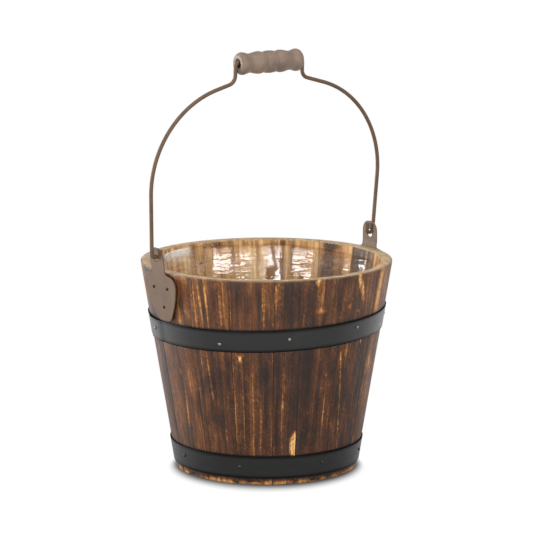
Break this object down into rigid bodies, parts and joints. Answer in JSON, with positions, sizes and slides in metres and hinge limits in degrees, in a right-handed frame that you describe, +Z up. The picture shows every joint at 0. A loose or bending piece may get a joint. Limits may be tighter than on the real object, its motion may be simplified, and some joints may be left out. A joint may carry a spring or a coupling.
{
  "type": "wooden bucket planter",
  "caption": "Tapered round stave bucket with iron hoops, a clear film liner and a swinging wire bail with a turned grip, used as a planter.",
  "frame": {"origin": "centre of the bucket's foot ring, on the surface that it stands on", "axes": "+Z up along the bucket's axis, +X along the bail's hinge axis from one ear to the other, +Y square to the bail"},
  "size_m": [0.2842, 0.2595, 0.4322],
  "materials": {
    "charred_wood": "flame-scorched softwood, satin",
    "floor_wood": "sawn softwood",
    "black_iron": "black strip iron, satin",
    "nail_steel": "plain nail steel",
    "ear_paint": "grey-brown paint, satin",
    "wire_paint": "grey-brown paint, satin",
    "grip_paint": "turned wood under grey-brown paint",
    "liner_film": "clear glossy film"
  },
  "bodies": {
    "bucket": {"stave_01": "charred_wood", "stave_02": "charred_wood", "stave_03": "charred_wood", "stave_04": "charred_wood", "stave_05": "charred_wood", "stave_06": "charred_wood", "stave_07": "charred_wood", "stave_08": "charred_wood", "stave_09": "charred_wood", "stave_10": "charred_wood", "stave_11": "charred_wood", "stave_12": "charred_wood", "stave_13": "charred_wood", "stave_14": "charred_wood", "stave_15": "charred_wood", "stave_16": "charred_wood", "stave_17": "charred_wood", "floor_board_1": "floor_wood", "floor_board_2": "floor_wood", "floor_board_3": "floor_wood", "upper_hoop": "black_iron", "lower_hoop": "black_iron", "upper_hoop_nail_1": "nail_steel", "upper_hoop_nail_2": "nail_steel", "upper_hoop_nail_3": "nail_steel", "upper_hoop_nail_4": "nail_steel", "upper_hoop_nail_5": "nail_steel", "upper_hoop_nail_6": "nail_steel", "upper_hoop_nail_7": "nail_steel", "upper_hoop_nail_8": "nail_steel", "upper_hoop_nail_9": "nail_steel", "lower_hoop_nail_1": "nail_steel", "lower_hoop_nail_2": "nail_steel", "lower_hoop_nail_3": "nail_steel", "lower_hoop_nail_4": "nail_steel", "lower_hoop_nail_5": "nail_steel", "lower_hoop_nail_6": "nail_steel", "lower_hoop_nail_7": "nail_steel", "lower_hoop_nail_8": "nail_steel", "ear_left": "ear_paint", "ear_right": "ear_paint", "ear_left_nail_1": "nail_steel", "ear_left_nail_2": "nail_steel", "ear_left_nail_3": "nail_steel", "ear_right_nail_1": "nail_steel", "ear_right_nail_2": "nail_steel", "ear_right_nail_3": "nail_steel", "liner": "liner_film", "liner_tack_1": "nail_steel", "liner_tack_2": "nail_steel", "liner_tack_3": "nail_steel", "liner_tack_4": "nail_steel", "liner_tack_5": "nail_steel"},
    "bail": {"bail_wire": "wire_paint"},
    "grip": {"handle_grip": "grip_paint"}
  },
  "joints": [
    {"name": "bail_swing", "type": "hinge", "parent": "bucket", "child": "bail", "pos_m": [0, 0, 0.231], "axis": [1, 0, 0], "range_deg": [-143, 136]},
    {"name": "grip_spin", "type": "hinge", "parent": "bail", "child": "grip", "pos_m": [-0.0051, -0.01161, 0.42074], "axis": [1, 0, 0], "continuous": true}
  ]
}
